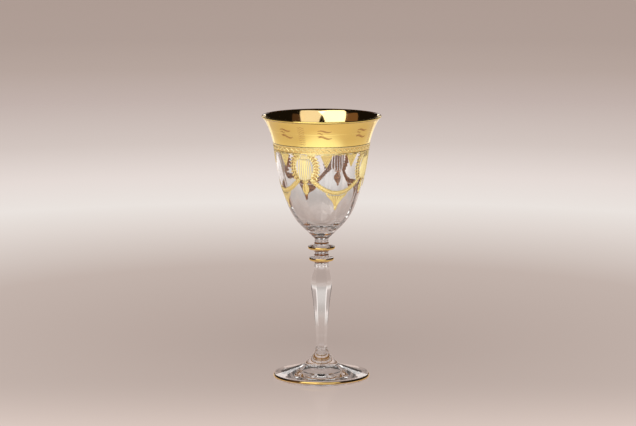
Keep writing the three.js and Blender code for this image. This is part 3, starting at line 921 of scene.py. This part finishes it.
def make_swag(name, middle):
    """A rope between two knots, and from each knot an arm of leaves up to the border."""
    to_tassel = math.pi / BAYS
    make_gilding(name, [
        *rope_strokes(middle),
        *wreath_strokes(middle - to_tassel, 1),
        *wreath_strokes(middle + to_tassel, -1),
    ])


def make_pendant(name, middle):
    """A bell of strokes that fans up from a point to the swag's lower edge.

    Cross strokes tie it, and a bulb ends it.
    """
    fan_spread, ground_spread = (3, 15), (2.6, 13.5)
    foot_rise, foot_slope, swag_gap, bulb_height = 1.6, 2, 0.1, 3.4

    def spread(tip, more, share):
        """Half angle that grows with a power of the share of the bell's height, from degrees."""
        return np.radians(tip + more * share**1.8)

    def place(across, share):
        """Angles and heights at shares across the bell and up it."""
        offset = across * spread(*fan_spread, share)
        foot = PENDANT_BOTTOM + foot_rise + np.abs(across) * foot_slope
        top = swag_height(offset) - SWAG_WIDTH / 2 - swag_gap
        return np.broadcast_arrays(middle + offset, foot + (top - foot) * share)

    share = np.linspace(0.02, 0.98, 24)
    turn, height = place(0.0, share)
    ground = wall_radius(height) * spread(*ground_spread, share)
    fan = place(np.linspace(-0.94, 0.94, 7)[:, None], share)
    tie_shares = np.array((0.16, 0.36, 0.54, 0.7, 0.83, 0.94))[:, None]
    ties = place(np.linspace(-0.96, 0.96, 25), tie_shares)
    bulb = np.linspace(PENDANT_BOTTOM, PENDANT_BOTTOM + bulb_height, 9)
    make_gilding(name, [
        strokes(turn, height, ground, GROUND_RISE, SHADED_GROUND),
        raised(*fan, half_width=0.26 + 0.62 * share**2 * tapered(24), rise=0.3 * tapered(24)),
        raised(*ties, half_width=0.3 * tapered(25), rise=0.24),
        raised(middle, bulb, half_width=1.15 * tapered(9, 2), rise=0.45 * tapered(9, 2)),
    ])


def make_tassel(name, middle):
    """A ribbed head, a skirt of strands and a tie, over a veined leaf-shaped drop with a copper bead."""
    rib_half, tie_half, leaf_widest = np.radians((7.4, 4.8, 4.2))
    skirt_inset, skirt_trim, fringe = 2.8, 3.2, 1.6
    leaf_inset, leaf_trim, vein_slant, vein_reach, bead_height = 0.2, 1.4, 0.12, 0.86, 1.9
    skirt_end = FESTOON_TOP - TASSEL_SKIRT
    tip = skirt_end - TASSEL_DROP
    sweep = np.linspace(-1, 1, 15)
    ribs = FESTOON_TOP - np.array((0.5, 1.5, 2.5))[:, None] - 0.5 * (1 - sweep**2)
    ties = skirt_end + np.array((0.2, 1.1))[:, None]
    across = np.linspace(-1, 1, 7)[:, None]
    share = np.linspace(0, 1, 26)
    strand_turn = middle + across * np.radians(5 + 3.6 * np.sin(math.pi * (0.1 + 0.6 * share)))
    strand_length = TASSEL_SKIRT - skirt_trim - fringe * np.abs(across)
    strand_height = FESTOON_TOP - skirt_inset - strand_length * share
    strand_width = (0.47 + 0.25 * (1 - np.abs(across))) * tapered(26, 4)

    def leaf_height(share):
        """Height at a share of the way down the drop."""
        return skirt_end - leaf_inset - (TASSEL_DROP - leaf_trim) * share

    leaf = np.linspace(0, 1, 21)
    leaf_half = leaf_widest * np.sin(math.pi * (leaf * 0.9 + 0.08)) ** 0.9
    middle_vein = leaf_height(leaf)
    out = np.linspace(0, 1, 6)
    vein = np.linspace(0.1, 0.8, 6)[:, None] + vein_slant * out
    vein_half = np.interp(vein, leaf, leaf_half) * out * vein_reach
    vein_turn = middle + np.concatenate((-vein_half, vein_half))
    bead = np.linspace(tip, tip + bead_height, 9)
    make_gilding(name, [
        raised(middle + rib_half * sweep, ribs, half_width=0.4 * tapered(15), rise=0.38),
        raised(strand_turn, strand_height, strand_width, rise=0.42 * tapered(26, 4)),
        raised(middle + tie_half * sweep, ties, half_width=0.36 * tapered(15), rise=0.36),
        strokes(middle, middle_vein, wall_radius(middle_vein) * leaf_half, GROUND_RISE, SHADED_GROUND),
        raised(middle + BOTH[:, None] * leaf_half, middle_vein, half_width=0.32, rise=0.32),
        raised(middle, middle_vein, half_width=0.4 * tapered(21), rise=0.4),
        raised(vein_turn, leaf_height(np.tile(vein, (2, 1))), half_width=0.28 * tapered(6), rise=0.28),
        # The copper bead uses the same darker gold that paints shade on the backs
        strokes(middle, bead, 0.9 * tapered(9, 2), 0.45 * tapered(9, 2), SHADED_BACK_AND_COPPER),
    ])


def between(start, end, share):
    """Points at shares of the way from a start to an end."""
    return start + (end - start) * share


def make_lattice(name, middle):
    """A three-cornered net on a thin ground: its hems, and strands between its top and each side."""
    hem_inset, apex_inset, ground_inset, ground_apex_inset, ground_tip = 0.35, 0.3, 0.4, 0.6, 0.06
    left, right = (np.array((middle + s * LATTICE_HALF_ANGLE, FESTOON_TOP - hem_inset)) for s in BOTH)
    apex = np.array((middle, FESTOON_TOP - LATTICE_DROP + apex_inset))
    along = np.linspace(0, 1, 9)[:, None]
    hems = np.stack([between(a, b, along) for a, b in ((left, apex), (right, apex), (left, right))])
    shares = np.linspace(0, 1, 8)[1:-1, None]
    net = np.stack([
        between(top, foot, along)
        for feet in (between(apex, right, shares), between(left, apex, shares))
        for top, foot in zip(between(left, right, shares), feet)
    ])
    level = np.linspace(FESTOON_TOP - ground_inset, FESTOON_TOP - LATTICE_DROP + ground_apex_inset, 12)
    ground = wall_radius(level) * LATTICE_GROUND_ANGLE * np.linspace(1, ground_tip, 12)
    make_gilding(name, [
        strokes(middle, level, ground, ETCHED_RISE, ETCHED_AND_SHADED),
        raised(hems[..., 0], hems[..., 1], half_width=0.34 * tapered(9, 6), rise=0.32),
        raised(net[..., 0], net[..., 1], half_width=0.23, rise=0.24),
    ])


for bay in range(BAYS):
    bay_middle = BAY_ANGLE + bay * 2 * math.pi / BAYS
    make_swag(f"swag_gilding_{bay + 1}", bay_middle)
    make_pendant(f"pendant_gilding_{bay + 1}", bay_middle)
    make_tassel(f"tassel_gilding_{bay + 1}", TASSEL_TURNS[bay])
    make_lattice(f"lattice_gilding_{bay + 1}_left", bay_middle - LATTICE_ANGLE)
    make_lattice(f"lattice_gilding_{bay + 1}_right", bay_middle + LATTICE_ANGLE)


# Floor, surroundings, lamps and camera; lengths are in metres

FLOOR_HALF = 9.0
FLOOR_CENTRE = (0, 0.14, 0)
# Painted pools of light and shade on the floor: tones by distance from the glass
FLOOR_LIGHT_POOLS = (
    (0.0, srgb(183, 166, 158)), (0.13, srgb(190, 173, 165)), (0.36, srgb(201, 185, 177)),
    (0.46, srgb(215, 202, 195)), (0.61, srgb(232, 222, 216)), (0.75, srgb(243, 236, 231)),
    (0.96, srgb(238, 227, 222)), (1.26, srgb(218, 205, 199)), (1.76, srgb(198, 182, 176)),
    (2.2, srgb(183, 166, 158)), (2.72, srgb(172, 155, 147)), (3.6, srgb(164, 147, 139)),
)
FLOOR_REACH = 4.0
FLOOR_GLOW = 0.8
FLOOR_LIT = 0.2
PAINTED_CARD_REFLECTION = (0.3, 0.42, 0.56)
HORIZON = srgb(170, 153, 145)
BACKDROP_FOOT = srgb(193, 174, 164)
VEIL = (0.1, 0.09, 0.085)
FILL = (0.5, 0.5, 0.5)
LIT_POINT = Vector((0, 0, 0.19))
LOOKING_DOWN = 8.6
BOUNCES = 96


def make_floor():
    """A pale floor whose tone runs in soft rings round the glass: painted pools of light and shade.

    It is part glow and part lit, so it keeps the shadow. Mirrored rays see it brighter, most of all near the
    middle, with a cool sheen in front, as painted reflection. Refracted rays see painted shade from flags, a
    strip and sides, and a far part painted lighter. The camera sees a front painted lighter.
    """
    material, tree = new_material("studio_floor")
    place = tree.node("ShaderNodeTexCoord", {}, {}, "Object")
    ends = {0: place, 1: FLOOR_CENTRE}
    away = tree.node("ShaderNodeVectorMath", {"operation": "DISTANCE"}, ends, "Value")
    stops = [(distance / FLOOR_REACH, painted_pool_tone) for distance, painted_pool_tone in FLOOR_LIGHT_POOLS]
    painted_pool_tone = tree.node("ShaderNodeValToRGB", {"stops": stops}, {0: away * (1 / FLOOR_REACH)})
    refracted = is_ray(tree, "Transmission")
    mirrored = is_ray(tree, "Glossy") * (1 - refracted)
    seen = is_ray(tree, "Camera")
    aside = tree.math("ABSOLUTE", along_axis(tree, place, "X"), 0)
    behind = along_axis(tree, place, "Y")
    ahead = behind * -1
    # Painted reflection: mirrored rays see the floor brighter near the middle, and a card's cool sheen in
    # front
    painted_reflection_boost = mirrored * (0.5 - 0.3 * tree.math("MINIMUM", aside * 4, 1))
    painted_card_reflection = mirrored * ahead.smooth(0.14, 0.25) * (1 - aside.smooth(0.1, 0.5))
    # Painted shade for refracted rays: flags, a strip and the sides are dimmer, and a far part is painted
    # lighter
    painted_flag_shade = (aside - behind * 0.88).smooth(0.15, 0.45) * behind.smooth(0.1, 0.4) * 0.9
    painted_strip_shade = (1 - aside.smooth(0.04, 0.12)) * behind.smooth(0.5, 0.8) * (1 - behind.smooth(1, 1.2)) * 0.32
    sides = aside.smooth(0.6, 0.95) * behind.smooth(0.8, 1.1) * 0.32
    painted_far_light = behind.smooth(0.65, 0.95) * 0.22
    painted_refraction_shade = refracted * (painted_flag_shade + painted_strip_shade + sides - painted_far_light + 0.02)
    # Painted light: the camera sees the floor's front lighter
    painted_front_light = seen * ahead.smooth(0, 0.3) * (1 - ahead.smooth(0.3, 0.8)) * 0.4
    glow = scaled(tree, painted_pool_tone, painted_reflection_boost + painted_front_light + FLOOR_GLOW - painted_refraction_shade)
    add_surface(tree, {
        "Base Color": scaled(tree, painted_pool_tone, FLOOR_LIT),
        "Roughness": noise(tree, 60) * 0.05 + 0.08 + refracted * 0.85,
        "Specular IOR Level": 0.006,
        "Emission Color": added(tree, glow, scaled(tree, PAINTED_CARD_REFLECTION, painted_card_reflection)),
        "Emission Strength": 1.0,
    })
    corners = np.array(((-1, -1, 0), (1, -1, 0), (1, 1, 0), (-1, 1, 0)), float) * FLOOR_HALF
    mesh = bpy.data.meshes.new("studio_floor")
    mesh.from_pydata(corners, [], [(0, 1, 2, 3)])
    mesh.materials.append(material)
    floor = add_object("studio_floor", mesh)
    return floor


def make_surroundings():
    """A pale horizon under a dim studio ceiling.

    Refracted rays see a faint veil at the sides too, matt surfaces an even grey, and the camera a backdrop.
    """
    world = bpy.data.worlds.new("studio")
    bpy.context.scene.world = world
    world.use_nodes = True
    world.node_tree.nodes.clear()
    tree = Shade(world.node_tree)
    direction = tree.node("ShaderNodeTexCoord", {}, {}, "Generated")
    rise = along_axis(tree, direction, "Z")
    stops = [(0.0, HORIZON), (0.05, HORIZON), (0.14, (0.06, 0.05, 0.046)), (0.25, (0.008, 0.006, 0.005))]
    ceiling = tree.node("ShaderNodeValToRGB", {"stops": stops}, {0: rise})
    aside = tree.math("ABSOLUTE", along_axis(tree, direction, "X"), 0)
    veil = scaled(tree, VEIL, is_ray(tree, "Transmission") * aside.smooth(0.2, 0.7))
    lit = mixed(tree, is_ray(tree, "Diffuse"), added(tree, ceiling, veil), FILL)
    backdrop = mixed(tree, rise.smooth(0, 0.15), BACKDROP_FOOT, HORIZON)
    shown = mixed(tree, is_ray(tree, "Camera"), lit, backdrop)
    background = tree.node("ShaderNodeBackground", {}, {"Color": shown, "Strength": 1.0})
    tree.node("ShaderNodeOutputWorld", {}, {"Surface": background})


def make_softbox(name, azimuth, elevation, distance, size, glow, tint=(1, 1, 1), spares=()):
    """A flat lamp that faces the rim and may spare some objects.

    Its azimuth, counted to the right from the front, and its elevation are in degrees.
    """
    turn, rise = math.radians(azimuth), math.radians(elevation)
    away = Vector((math.sin(turn) * math.cos(rise), -math.cos(turn) * math.cos(rise), math.sin(rise)))
    lamp = bpy.data.lights.new(name, "AREA")
    lamp.shape = "RECTANGLE"
    lamp.size, lamp.size_y = size
    lamp.energy = glow * math.pi * size[0] * size[1]
    lamp.color = tint
    made = add_object(name, lamp)
    made.location = LIT_POINT + away * distance
    made.rotation_euler = away.to_track_quat("Z", "Y").to_euler()
    made.visible_camera = False
    if spares:
        spared = bpy.data.collections.new(f"spared_by_{name}")
        made.light_linking.receiver_collection = spared
        for kept_dark in spares:
            spared.objects.link(kept_dark)
        for entry in spared.collection_objects:
            entry.light_linking.link_state = "EXCLUDE"


def make_camera():
    """The photograph's view: 2 m away and 0.425 m up, looking down a little."""
    lens = bpy.data.cameras.new("camera")
    lens.sensor_width, lens.lens = 36.0, 156.06
    lens.clip_end = 50
    camera = add_object("camera", lens)
    camera.location = (-0.00257, -2.0, 0.425)
    camera.rotation_euler = (math.radians(90 - LOOKING_DOWN), 0, 0)
    bpy.context.scene.camera = camera


floor = make_floor()
make_surroundings()
make_softbox("softbox_right", 31, 52, 1.4, (0.95, 1.0), 0.95, (1, 0.95, 0.95))
make_softbox("softbox_left", -37, 52, 1.4, (1.05, 1.0), 2.1, (1, 0.97, 0.93))
for side in (-1, 1):
    make_softbox(f"low_card_{side}", side * 151, -19, 0.47, (0.07, 0.09), 0.4, spares=[floor])
    make_softbox(f"back_card_{side}", side * 168, 13, 1.5, (0.32, 0.24), 1.6, spares=[floor])
front_place = (-8, 21, 1.3, (2.2, 0.36))
front_tint = (1, 0.97, 0.95)
bowl = bpy.data.objects["bowl_crystal"]
make_softbox("front_card", *front_place, 1.6, front_tint, spares=[floor])
make_softbox("gold_card", *front_place, 2.4, front_tint, spares=[floor, bowl])
make_softbox("back_panel", 180, 38, 1.6, (1.4, 0.7), 0.1, (1, 0.92, 0.86), spares=[floor])
make_softbox("reflector_left", -72, 34, 1.4, (1.1, 0.7), 0.16, (1, 0.5, 0.25), spares=[floor])
make_softbox("reflector_right", 63, 34, 1.4, (0.6, 0.7), 0.06, (1, 0.5, 0.3), spares=[floor])
make_camera()

bpy.context.scene.view_settings.view_transform = "Standard"
bpy.context.scene.cycles.max_bounces = BOUNCES
bpy.context.scene.cycles.transmission_bounces = BOUNCES
bpy.context.scene.cycles.glossy_bounces = BOUNCES
bpy.context.scene.cycles.transparent_max_bounces = BOUNCES
